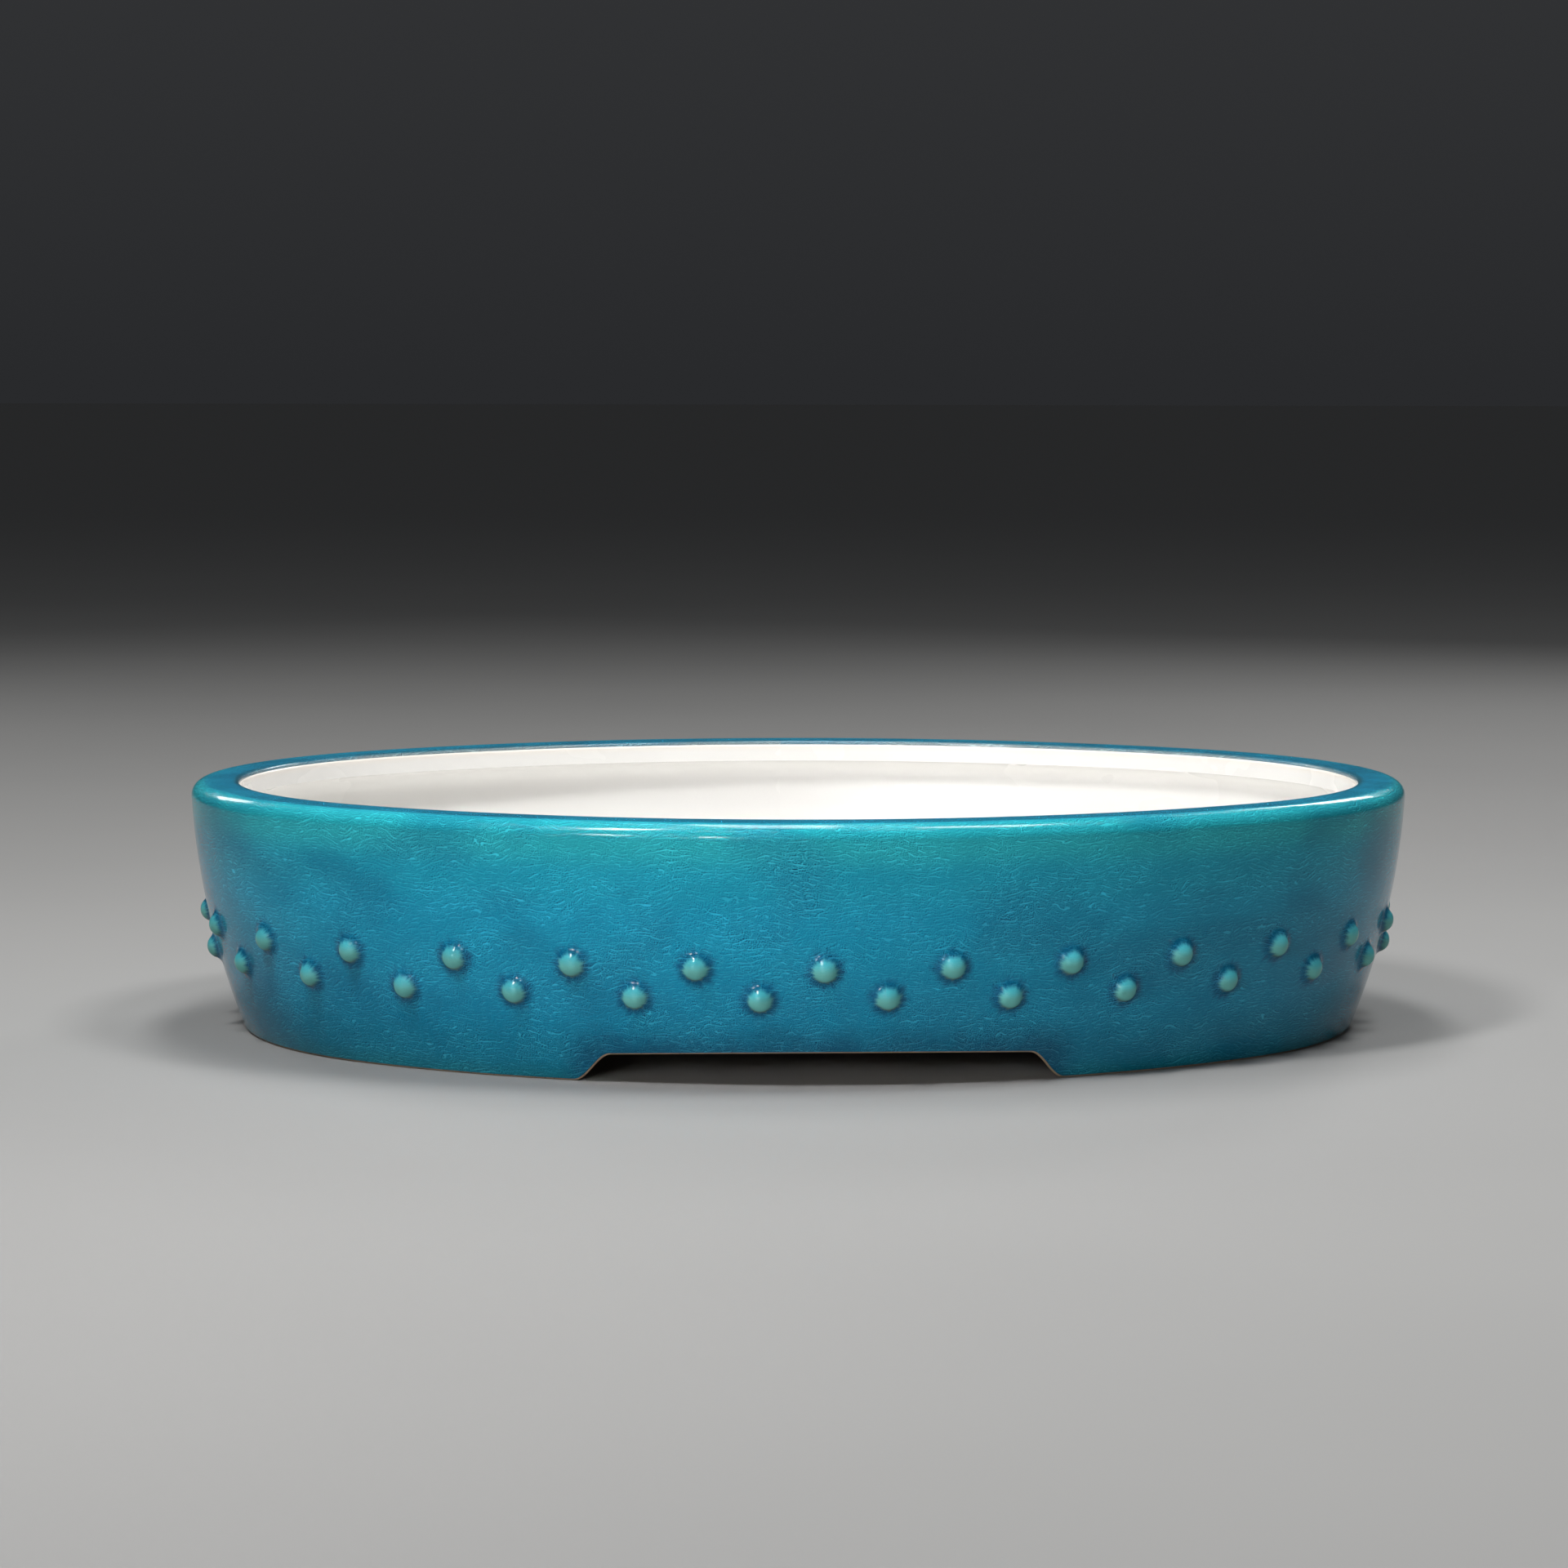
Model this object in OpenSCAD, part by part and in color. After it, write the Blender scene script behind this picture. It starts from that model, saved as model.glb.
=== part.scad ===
// Shallow oval bonsai pot with two rows of drum-nail bosses.
// Millimetres. Z is up and zero is the table. X runs along the length, the front faces -Y.
//
// Every wall, lip and foot shape follows one oval made of four tangent arcs: two tight ones at
// the ends and two wide ones along the front and back. A shape's section is drawn as
// [inset, height] pairs, where inset is the distance in from the widest outline of the rim.

/* [Plan shape] */
// Overall length, along X
rim_length = 430; // [300:1:600]
// Overall depth, along Y
rim_depth = 322; // [200:1:450]
// Radius of the two end arcs of the widest outline
end_radius = 134; // [100:1:150]

/* [Heights] */
// Table to the flat top of the lip
pot_height = 87; // [60:1:150]
// Table to the underside of the floor
foot_height = 15; // [8:1:30]
// Thickness of the floor
floor_thickness = 8; // [5:0.5:14]
// Table to the joint between wall and lip
lip_joint_height = 75; // [55:5:130]

/* [Wall] */
// Radius of the soft outward curve of the wall, seen in section
wall_curve_radius = 260; // [150:5:400]
// Height of the centre of that curve
wall_curve_height = 96; // [60:1:160]
// Thickness of the wall
wall_thickness = 8; // [5:0.5:12]
// Radius of the cove between wall and floor
floor_cove_radius = 10; // [4:0.5:16]
// Inset at which that cove meets the floor
floor_inset = 26; // [20:0.5:40]

/* [Lip] */
// Width of the lip from the widest outline to the opening
lip_width = 16.8; // [10:0.1:30]
// Radius of the lip's outer edge
lip_round = 5; // [2:0.5:7]
// Radius of the lip's inner top edge
lip_inner_round = 1.5; // [0.5:0.1:3]
// Radius of the cove under the lip
lip_cove_radius = 8; // [4:0.5:10]

/* [Foot] */
// Inset of the foot ring's inner face
foot_inner_inset = 31; // [25:0.5:45]
// Half the width of the notch at the table
notch_half_width = 80; // [40:1:120]
// Width of the S-shaped end of the notch
notch_end_width = 12; // [5:0.5:25]
// Height of the notch where its S-shaped ends stop
notch_end_height = 9.6; // [5:0.1:14]
// Extra height of the notch's shallow arch at the middle
notch_arch_rise = 1.6; // [0:0.1:3]
// Thickness of the bare clay strip along the foot
clay_strip = 0.8; // [0.8:0.1:3]

/* [Drain holes] */
// Radius of each drain hole
drain_radius = 7; // [4:0.5:12]
// Distance of each drain hole from the middle
drain_offset = 62; // [30:1:110]

/* [Glaze] */
// Thickness of the white glaze inside
glaze_thickness = 0.8; // [0.5:0.1:1.5]
// Radius left free of inside glaze around a drain hole
glaze_hole_radius = 8.2; // [7.5:0.1:14]

/* [Bosses] */
// Bosses in each row
boss_count = 28; // [12:2:48]
// Radius of the ball that forms a boss
boss_radius = 4.4; // [3:0.1:9]
// Depth of the ball's centre below the wall's surface
boss_sink = 0.9; // [0:0.1:4]
// Height of the upper row
upper_row_height = 40; // [25:0.5:70]
// Height of the lower row
lower_row_height = 29.7; // [20:0.1:60]

/* [Output] */
// Piece to draw

/* [Hidden] */
$fn = 96;
round_fn = 360;
boss_fn = 96;
eps = 1;

glaze_blue = [0.03, 0.42, 0.56];
lip_blue = [0.05, 0.5, 0.66];
boss_green = [0.42, 0.72, 0.64];
glaze_white = [0.94, 0.93, 0.9];
clay_tan = [0.66, 0.52, 0.38];
clay_brown = [0.35, 0.28, 0.22];

// The four-arc oval.
half_length = rim_length / 2;
half_depth = rim_depth / 2;
end_centre = half_length - end_radius;
side_radius = (end_centre * end_centre + half_depth * half_depth - end_radius * end_radius)
    / (2 * (half_depth - end_radius));
side_centre = side_radius - half_depth;
end_half_angle = atan2(side_centre, end_centre);
side_half_angle = 90 - end_half_angle;

// Two arcs meet on the line through their centres, which runs in this direction.
meet = [end_centre, side_centre] / (side_radius - end_radius);

// Each arc: centre, radius and the directions of its two ends.
arcs = [
    [[0, side_centre], side_radius, [-meet[0], -meet[1]], [meet[0], -meet[1]]],
    [[end_centre, 0], end_radius, [meet[0], -meet[1]], [meet[0], meet[1]]],
    [[0, -side_centre], side_radius, [meet[0], meet[1]], [-meet[0], meet[1]]],
    [[-end_centre, 0], end_radius, [-meet[0], meet[1]], [-meet[0], -meet[1]]],
];

floor_top = foot_height + floor_thickness;
lip_edge_height = pot_height - lip_round;
lip_under_height = lip_joint_height + 5;

// Inset of a curve that runs parallel to the outside of the wall, depth millimetres in from it.
curve_inset = sqrt(pow(wall_curve_radius, 2) - pow(wall_curve_height - lip_edge_height, 2));
function skin(height, depth = 0) =
    curve_inset - sqrt(pow(wall_curve_radius - depth, 2) - pow(wall_curve_height - height, 2));

// Heights at which the outside of the pot changes slope.
band = 5;
function outside(low, high) = [for (h = [low : band : high]) [skin(h), h]];

// Edge of the floor, where the wall stands round it.
floor_edge = [
    [skin(foot_height, wall_thickness), foot_height],
    [skin(floor_top, wall_thickness), floor_top]
];

// The inside of the clay from the floor up to the lip, drawn cover millimetres in front of it.
inside_step = 5;
cove_end_angle = 90 - asin((wall_curve_height - floor_top - floor_cove_radius) / wall_curve_radius);
function cove(cover, steps) = [for (i = [0 : steps])
    let (a = cove_end_angle * i / steps, r = floor_cove_radius - cover)
    [floor_inset - r * sin(a), floor_top + floor_cove_radius - r * cos(a)]];
function inner_wall(cover) = [for (h = [35 : inside_step : 70]) [skin(h, wall_thickness + cover), h]];
lip_cove_height = lip_under_height - lip_cove_radius;
function lip_cove(cover, low, high, steps) = [for (i = [0 : steps])
    let (a = low + (high - low) * i / steps, r = lip_cove_radius - cover)
    [lip_width - r * cos(a), lip_cove_height + r * sin(a)]];
lip_joint_angle = asin((lip_joint_height - lip_cove_height) / lip_cove_radius);

// A section drawn in [inset, height] pairs, as a shape to the left of the arc's radius.
module section(points) {
    polygon([for (p = points) [-p[0], p[1]]]);
}

// The wedge of space that one arc covers.
module wedge(arc) {
    reach = 3 * rim_length;
    linear_extrude(height = 3 * pot_height, center = true)
        polygon([arc[0], arc[0] + reach * arc[2], arc[0] + reach * arc[3]]);
}

// Carries a section all the way round the oval.
module around() {
    for (arc = arcs)
        intersection() {
            translate([arc[0][0], arc[0][1], 0])
                rotate_extrude($fn = round_fn)
                    translate([arc[1], 0])
                        children();
            wedge(arc);
        }
}

// A solid oval whose side follows the given [inset, height] pairs from bottom to top.
module solid_oval(side) {
    low = side[0][1];
    high = side[len(side) - 1][1];
    for (arc = arcs)
        intersection() {
            translate([arc[0][0], arc[0][1], 0])
                rotate_extrude($fn = round_fn)
                    polygon(concat([[0, low]], [for (p = side) [arc[1] - p[0], p[1]]], [[0, high]]));
            wedge(arc);
        }
}

// Height of the notch's roof at distance x from the middle.
function notch_roof(x) =
    let (inner = notch_half_width - notch_end_width, far = abs(x))
    far <= inner
        ? notch_end_height + notch_arch_rise * (1 - pow(far / inner, 2))
        : notch_end_height * (1 - cos(180 * (notch_half_width - far) / notch_end_width)) / 2;

// The notch cut through the front and back of the foot ring, grown outwards by extra.
module notch(extra = 0) {
    inner = notch_half_width - notch_end_width;
    ends = [for (i = [0 : 8]) notch_half_width - notch_end_width * i / 8];
    roof = [for (i = [1 : 9]) inner - 2 * inner * i / 10];
    xs = concat(ends, roof, [for (i = [8 : -1 : 0]) -ends[i]]);
    top = [for (x = xs) [x + sign(x) * extra * (abs(x) > inner ? 1 : 0), notch_roof(x) + extra]];
    reach = notch_half_width + extra;
    rotate([90, 0, 0])
        linear_extrude(height = rim_depth, center = true)
            polygon(concat([[reach, -eps]], top, [[-reach, -eps]]));
}

// One boss in the front right quarter, spaces along the wall from the middle of the front. It is
// a ball whose centre sits under the outside of the wall, cut off where it meets the wall.
module boss(height, spaces) {
    tilt = asin((wall_curve_height - height) / wall_curve_radius);
    inset = skin(height);
    side_run = side_half_angle * PI / 180 * (side_radius - inset);
    end_run = end_half_angle * PI / 180 * (end_radius - inset);
    along = (side_run + end_run) * spaces / (boss_count / 4);
    on_side = along <= side_run;
    arc = on_side ? arcs[0] : arcs[1];
    turned = on_side
        ? along / (side_radius - inset) * 180 / PI
        : side_half_angle + (along - side_run) / (end_radius - inset) * 180 / PI;
    low = height - height % band - 2 * band;
    difference() {
        translate([arc[0][0], arc[0][1], height + boss_sink * sin(tilt)])
            rotate([0, 0, turned - 90])
                translate([arc[1] - inset - boss_sink * cos(tilt), 0, 0])
                    rotate([0, 90 + tilt, 0])
                        sphere(r = boss_radius, $fn = boss_fn);
        solid_oval(outside(low, low + 5 * band));
    }
}

// One row of bosses, equally spaced along the wall, from the first one's place in its quarter.
module boss_row(height, first) {
    last = boss_count / 4;
    for (k = [first : 1 : last], x = k > 0 ? [0, 1] : [0], y = k < last ? [0, 1] : [0])
        mirror([x, 0, 0])
            mirror([0, y, 0])
                boss(height, k);
}

// Foot ring before the clay strip is taken off it, from the given height up.
module foot_blank(low) {
    around()
        section(concat(
            [[foot_inner_inset, foot_height], [foot_inner_inset, low]],
            [[skin(0) + (skin(5) - skin(0)) * low / 5, low]],
            outside(5, foot_height)
        ));
}

// Curved side of the pot, from the top of the foot ring to the lip.
module wall() {
    color(glaze_blue)
        around()
            section(concat(
                outside(foot_height, lip_joint_height),
                [for (i = [3 : -1 : 0]) lip_cove(0, 0, lip_joint_angle, 3)[i]],
                [for (i = [7 : -1 : 0]) inner_wall(0)[i]],
                [cove(0, 6)[6], floor_edge[1], floor_edge[0]]
            ));
}

// Broad flat lip with a rounded outer edge, turned in over the opening.
module lip() {
    outer_round = [for (i = [0 : 8])
        let (a = 90 * i / 8)
        [lip_round - lip_round * cos(a), lip_edge_height + lip_round * sin(a)]];
    inner_round = [for (i = [0 : 4])
        let (a = 90 * i / 4)
        [lip_width - lip_inner_round + lip_inner_round * sin(a),
            pot_height - lip_inner_round + lip_inner_round * cos(a)]];
    color(lip_blue)
        around()
            section(concat(
                outside(lip_joint_height, lip_joint_height + band),
                outer_round,
                inner_round,
                [for (i = [6 : -1 : 0]) lip_cove(0, lip_joint_angle, 90, 6)[i]]
            ));
}

// Flat floor with two drain holes, held inside the wall on the foot ring.
module floor_slab() {
    color(clay_brown)
        difference() {
            solid_oval(floor_edge);
            for (side = [-1, 1])
                translate([side * drain_offset, 0, foot_height - eps])
                    cylinder(r = drain_radius, h = floor_thickness + 2 * eps);
        }
}

// Coil of clay smoothed into the corner between the floor and the wall.
module corner_coil() {
    color(clay_brown)
        around()
            section(concat([floor_edge[1]], cove(0, 6)));
}

// Glazed foot ring with a notch at front and back.
module foot_ring() {
    color(glaze_blue)
        difference() {
            foot_blank(clay_strip);
            notch(clay_strip);
        }
}

// Bare clay along the table edge of the foot ring and around both notches.
module foot_edge() {
    color(clay_tan)
        difference() {
            foot_blank(0);
            notch(0);
            difference() {
                translate([-rim_length, -rim_depth, clay_strip])
                    cube([2 * rim_length, 2 * rim_depth, foot_height]);
                notch(clay_strip);
            }
        }
}

// White glaze that lines the lip's inner face, the wall and the floor.
module inside_glaze() {
    g = glaze_thickness;
    top = pot_height - lip_inner_round;
    color(glaze_white) {
        around()
            section(concat(
                [[lip_width, top], [lip_width, lip_under_height]],
                [for (i = [9 : -1 : 0]) lip_cove(0, 0, 90, 9)[i]],
                [for (i = [7 : -1 : 0]) inner_wall(0)[i]],
                [for (i = [6 : -1 : 0]) cove(0, 6)[i]],
                cove(g, 6),
                inner_wall(g),
                lip_cove(g, 0, 90, 9),
                [[lip_width + g, lip_under_height - g], [lip_width + g, top]]
            ));
        difference() {
            solid_oval([[floor_inset, floor_top], [floor_inset, floor_top + g]]);
            for (side = [-1, 1])
                translate([side * drain_offset, 0, floor_top - eps])
                    cylinder(r = glaze_hole_radius, h = g + 2 * eps);
        }
    }
}

// Upper row of bosses, with one at the middle of the front.
module upper_bosses() {
    color(boss_green)
        boss_row(upper_row_height, 0);
}

// Lower row of bosses, half a space along from the upper row.
module lower_bosses() {
    color(boss_green)
        boss_row(lower_row_height, 0.5);
}

wall();
lip();
floor_slab();
corner_coil();
foot_ring();
foot_edge();
inside_glaze();
upper_bosses();
lower_bosses();
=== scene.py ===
"""Oval glazed bonsai pot: finely meshed glaze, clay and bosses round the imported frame.

Lengths are millimetres in the pot's own frame until a mesh is made. The plan and the sections
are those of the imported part: four tangent arcs, with each shape drawn as insets from the widest
outline and heights above the table.
"""

import math

import bmesh
import bpy
import numpy as np
from mathutils import Matrix, Vector
from mathutils.geometry import delaunay_2d_cdt


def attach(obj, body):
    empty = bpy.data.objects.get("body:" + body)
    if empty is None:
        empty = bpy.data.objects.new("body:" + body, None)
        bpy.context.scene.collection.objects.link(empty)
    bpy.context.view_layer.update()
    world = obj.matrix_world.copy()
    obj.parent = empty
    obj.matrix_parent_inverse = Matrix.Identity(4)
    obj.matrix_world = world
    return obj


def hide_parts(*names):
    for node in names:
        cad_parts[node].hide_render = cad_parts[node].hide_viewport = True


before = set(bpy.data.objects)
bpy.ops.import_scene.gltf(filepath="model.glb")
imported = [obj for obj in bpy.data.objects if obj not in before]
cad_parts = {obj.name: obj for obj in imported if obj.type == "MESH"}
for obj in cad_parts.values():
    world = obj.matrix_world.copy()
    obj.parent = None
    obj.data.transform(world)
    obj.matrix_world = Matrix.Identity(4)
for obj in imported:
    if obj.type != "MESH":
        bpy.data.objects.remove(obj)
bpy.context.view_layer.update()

MM = 0.001

# Plan shape: end and side arcs of the widest outline, and where their centres lie.
END_RADIUS = 134.0
END_CENTRE = 81.0
SIDE_RADIUS = 269.0
SIDE_CENTRE = 108.0
SIDE_HALF_ANGLE = math.atan2(END_CENTRE, SIDE_CENTRE)
END_HALF_ANGLE = math.pi / 2 - SIDE_HALF_ANGLE

# Distances round the pot are measured along the oval at this inset, from the middle of the front.
GIRTH_INSET = 7.0
SIDE_RUN = SIDE_HALF_ANGLE * (SIDE_RADIUS - GIRTH_INSET)
QUARTER = SIDE_RUN + END_HALF_ANGLE * (END_RADIUS - GIRTH_INSET)
GIRTH = 4 * QUARTER

# Section of the wall, floor and lip.
POT_HEIGHT = 87.0
FOOT_HEIGHT = 15.0
FLOOR_TOP = 23.0
LIP_JOINT = 75.0
WALL_CURVE = 260.0
WALL_CURVE_HEIGHT = 96.0
WALL_THICKNESS = 8.0
COVE_RADIUS = 10.0
COVE_INSET = 26.0
LIP_WIDTH = 16.8
LIP_ROUND = 5.0
LIP_INNER_ROUND = 1.5
LIP_COVE = 8.0
LIP_UNDER = 80.0
GLAZE = 0.8

# Height of the joint between wall and lip over the centre of the lip's cove.
JOINT_RISE = LIP_JOINT - (LIP_UNDER - LIP_COVE)

# Foot ring. The outer inset is where its flat underside starts.
FOOT_OUTER = 21.0
FOOT_INNER = 31.0
CLAY_STRIP = 0.5
CLAY_ROUND = 0.8
GLAZE_LIP = 0.3
NOTCH_HALF = 80.0
NOTCH_END = 12.0
NOTCH_HEIGHT = 9.6
NOTCH_ARCH = 1.6

# Drain holes.
DRAIN_OFFSET = 62.0
GLAZE_HOLE = 8.2

# Bosses.
BOSS_COUNT = 28
BOSS_SPACING = GIRTH / BOSS_COUNT
BOSS_RADIUS = 4.4
BOSS_SINK = 0.9
BOSS_FILLET = 4.0
UPPER_ROW = 40.0
LOWER_ROW = 29.7

# Spacing of a sweep's columns.
COLUMN_STEP = 2.0

# Layout of a sweep's baked picture: the shares of each strip's height that the seen surface takes,
# where the hidden one starts and what it takes, and the margins beside and below a strip.
SEEN_SHARE = 0.82
HIDDEN_START = 0.86
HIDDEN_SHARE = 0.1
SIDE_MARGIN = 0.004
LOW_MARGIN = 0.02

# Layout of a row of bosses' baked picture: squares along a side, and what each one covers.
SQUARES = 6
SQUARE_COVERS = 15.6


def plan(s):
    """Arc centre, arc radius and outward direction at distance s round from the front middle."""
    s = (np.asarray(s, float) + GIRTH / 2) % GIRTH - GIRTH / 2
    right = np.where(s < 0, -1.0, 1.0)
    run = np.abs(s)
    back = np.where(run > QUARTER, 1.0, -1.0)
    run = np.where(run > QUARTER, 2 * QUARTER - run, run)
    side = run <= SIDE_RUN
    turn = np.where(
        side,
        run / (SIDE_RADIUS - GIRTH_INSET),
        SIDE_HALF_ANGLE + (run - SIDE_RUN) / (END_RADIUS - GIRTH_INSET),
    )
    centre_x = np.where(side, 0, END_CENTRE) * right
    centre_y = np.where(side, -SIDE_CENTRE, 0) * back
    centre = np.stack([centre_x, centre_y], -1)
    radius = np.where(side, SIDE_RADIUS, END_RADIUS)
    out = np.stack([np.sin(turn) * right, np.cos(turn) * back], -1)
    return centre, radius, out


def spot(s, inset, height):
    """Points of the pot at distance s round, set in from the widest outline, at a height."""
    centre, radius, out = plan(s)
    flat = centre + (radius - inset)[..., None] * out
    return np.concatenate([flat, np.broadcast_to(height, radius.shape)[..., None]], -1)


def skin(height, depth=0.0):
    """Inset of the curve that runs depth millimetres inside the outside of the wall."""
    edge = math.sqrt(WALL_CURVE**2 - (WALL_CURVE_HEIGHT - (POT_HEIGHT - LIP_ROUND)) ** 2)
    drop = WALL_CURVE_HEIGHT - np.asarray(height, float)
    return edge - np.sqrt((WALL_CURVE - depth) ** 2 - drop**2)


def climb(height):
    """Length up the outside of the wall from the table to a height."""
    low = math.asin(WALL_CURVE_HEIGHT / WALL_CURVE)
    drop = WALL_CURVE_HEIGHT - np.asarray(height, float)
    return WALL_CURVE * (low - np.arcsin(drop / WALL_CURVE))


def height_at(length):
    """Height reached after climbing a length up the outside of the wall."""
    low = math.asin(WALL_CURVE_HEIGHT / WALL_CURVE)
    return WALL_CURVE_HEIGHT - WALL_CURVE * np.sin(low - np.asarray(length, float) / WALL_CURVE)


def arc(centre, radius, start, end, steps):
    """Points on an arc in [inset, height], turning from start to end degrees."""
    turns = np.radians(np.linspace(start, end, steps + 1))
    return [(centre[0] + radius * math.cos(a), centre[1] + radius * math.sin(a)) for a in turns]


def line(start, end, step):
    """Points from start to end, no further apart than step, without the first one."""
    count = max(1, math.ceil(math.dist(start, end) / step))
    return [tuple(np.add(start, np.subtract(end, start) * i / count)) for i in range(1, count + 1)]


def make_mesh(name, points, faces, uvs=(), sharp=35):
    """A piece from points in millimetres. uvs holds (layer name, one pair per face corner)."""
    mesh = bpy.data.meshes.new(name)
    mesh.from_pydata([tuple(p) for p in np.asarray(points) * MM], [], faces)
    for layer, pairs in uvs:
        mesh.uv_layers.new(name=layer).data.foreach_set("uv", np.asarray(pairs, float).ravel())
    mesh.shade_smooth()
    mesh.set_sharp_from_angle(angle=math.radians(sharp))
    if volume(mesh) < 0:
        mesh.flip_normals()
    piece = bpy.data.objects.new(name, mesh)
    bpy.context.scene.collection.objects.link(piece)
    return piece


def volume(mesh):
    """Signed volume inside a closed mesh."""
    mesh.calc_loop_triangles()
    places = np.empty(len(mesh.vertices) * 3)
    mesh.vertices.foreach_get("co", places)
    corners = np.empty(len(mesh.loop_triangles) * 3, int)
    mesh.loop_triangles.foreach_get("vertices", corners)
    a, b, c = places.reshape(-1, 3)[corners.reshape(-1, 3)].transpose(1, 0, 2)
    return float(np.einsum("ij,ij->", a, np.cross(b, c))) / 6


def columns(fine=()):
    """Distances round the pot for a sweep's columns, closer together inside the fine spans."""
    marks = list(np.arange(-GIRTH / 2, GIRTH / 2, COLUMN_STEP))
    for low, high, step in fine:
        marks = [m for m in marks if not low <= m <= high]
        marks += list(np.arange(low, high + step / 2, step))
    return np.array(sorted(marks))


def corners(pairs):
    """An array [face, corner, 2] from one (u array, v array) pair per corner."""
    return np.stack([np.stack(pair, 1) for pair in pairs], 1)


def sweep(name, marks, points, along, shown, rows):
    """A closed ring swept round the pot.

    points is an array [column, ring, 3]. along gives each ring's length along the section, with
    one more for the last ring's closing edge, and shown is how many rings from the first are seen.
    rows is how many strips the baked picture is cut into.
    """
    count, rings = points.shape[:2]
    c, r = [g.ravel() for g in np.meshgrid(np.arange(count), np.arange(rings), indexing="ij")]
    nc, nr = (c + 1) % count, (r + 1) % rings
    faces = np.stack([c * rings + r, nc * rings + r, nc * rings + nr, c * rings + nr], 1)
    u0, u1 = marks[c], np.where(nc == 0, GIRTH / 2, marks[nc])
    v0, v1 = along[c, r], along[c, r + 1]
    v2, v3 = along[nc, r + 1], along[nc, r]
    surface = corners([(u0, v0), (u1, v3), (u1, v2), (u0, v1)])

    share = (marks - marks[0]) / GIRTH
    ends = np.append(share, 1.0)
    row = np.minimum((share * rows).astype(int), rows - 1)[c]
    left, right = ends[c] * rows - row, ends[c + 1] * rows - row
    mean = along.mean(0)
    seen = (mean[: shown + 1] - mean[0]) / (mean[shown] - mean[0]) * SEEN_SHARE
    hidden_length = max(mean[-1] - mean[shown], 1e-6)
    hidden = HIDDEN_START + (mean[shown:] - mean[shown]) / hidden_length * HIDDEN_SHARE
    low = np.concatenate([seen[:-1], hidden[:-1]])[r]
    high = np.concatenate([seen[1:], hidden[1:]])[r]
    width = 1 - 2 * SIDE_MARGIN
    tall = 1 - 2 * LOW_MARGIN
    x0, x1 = SIDE_MARGIN + left * width, SIDE_MARGIN + right * width
    y0, y1 = (row + LOW_MARGIN + low * tall) / rows, (row + LOW_MARGIN + high * tall) / rows
    bake = corners([(x0, y0), (x1, y0), (x1, y1), (x0, y1)])
    return make_mesh(name, points.reshape(-1, 3), faces.tolist(), [("surface", surface), ("OFBake", bake)])


def swept_section(name, section, start, shown, rows):
    """A sweep whose section is the same all the way round, as a list of (inset, height)."""
    marks = columns()
    section = np.array(section)
    around, insets = np.meshgrid(marks, section[:, 0], indexing="ij")
    points = spot(around, insets, section[:, 1])
    steps = np.linalg.norm(np.diff(section, axis=0, append=section[:1]), axis=1)
    along = start + np.concatenate([[0], np.cumsum(steps)])
    return sweep(name, marks, points, np.tile(along, (len(marks), 1)), shown, rows)


def inner_side(cover, top):
    """The inside of the clay from the lip's underside down to the floor, cover millimetres out."""
    under = arc((LIP_WIDTH, LIP_UNDER - LIP_COVE), LIP_COVE - cover, 90, 180, 10)
    wall = [(float(skin(h, WALL_THICKNESS + cover)), h) for h in np.arange(70, 30.9, -2.5)]
    lean = math.degrees(math.asin((WALL_CURVE_HEIGHT - FLOOR_TOP - COVE_RADIUS) / WALL_CURVE))
    cove = arc((COVE_INSET, FLOOR_TOP + COVE_RADIUS), COVE_RADIUS - cover, 180 + lean, 270, 10)
    return [p for p in under if p[1] <= top] + wall + cove


def build_wall():
    """Glazed outside of the wall, closed behind by the inside of the clay."""
    heights = np.arange(FOOT_HEIGHT, LIP_JOINT + 0.1, 1.5)
    outside = [(float(skin(h)), float(h)) for h in heights]
    levels = (70, 60, 50, 40, 30, FLOOR_TOP, FOOT_HEIGHT)
    inside = [(float(skin(h, WALL_THICKNESS)), float(h)) for h in levels]
    joint = (LIP_WIDTH - math.sqrt(LIP_COVE**2 - JOINT_RISE**2), LIP_JOINT)
    section = outside + [joint] + inside
    return swept_section("wall_glazed", section, float(climb(FOOT_HEIGHT)), len(outside) - 1, 4)


def build_lip():
    """Broad lip: outside, rounded outer edge, flat top, small inner round and underside."""
    edge = POT_HEIGHT - LIP_ROUND
    outside = [(float(skin(h)), float(h)) for h in (75, 76, 77, 78, 79, 80, 81)]
    outer = [(LIP_ROUND - LIP_ROUND * math.cos(a), edge + LIP_ROUND * math.sin(a))
             for a in np.radians(np.linspace(0, 90, 19))]
    flat = line(outer[-1], (LIP_WIDTH - LIP_INNER_ROUND, POT_HEIGHT), 1.2)
    inner = [(LIP_WIDTH - LIP_INNER_ROUND + LIP_INNER_ROUND * math.sin(a),
              POT_HEIGHT - LIP_INNER_ROUND + LIP_INNER_ROUND * math.cos(a))
             for a in np.radians(np.linspace(11.25, 90, 8))]
    down = line(inner[-1], (LIP_WIDTH, LIP_UNDER), 2.0)
    joint = math.degrees(math.asin(JOINT_RISE / LIP_COVE))
    under = arc((LIP_WIDTH, LIP_UNDER - LIP_COVE), LIP_COVE, 90, 180 - joint, 8)[1:]
    section = outside + outer + flat + inner + down + under
    shown = len(outside + outer + flat + inner) - 1
    return swept_section("lip_glazed", section, float(climb(LIP_JOINT)), shown, 5)


def roof(x):
    """Height of the notch's roof at distance x from the middle, zero outside the notch."""
    far, inner = np.abs(x), NOTCH_HALF - NOTCH_END
    arch = NOTCH_HEIGHT + NOTCH_ARCH * (1 - (np.minimum(far, inner) / inner) ** 2)
    slope = NOTCH_HEIGHT * (1 - np.cos(np.pi * np.clip((NOTCH_HALF - far) / NOTCH_END, 0, 1))) / 2
    return np.where(far <= inner, arch, slope)


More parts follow.
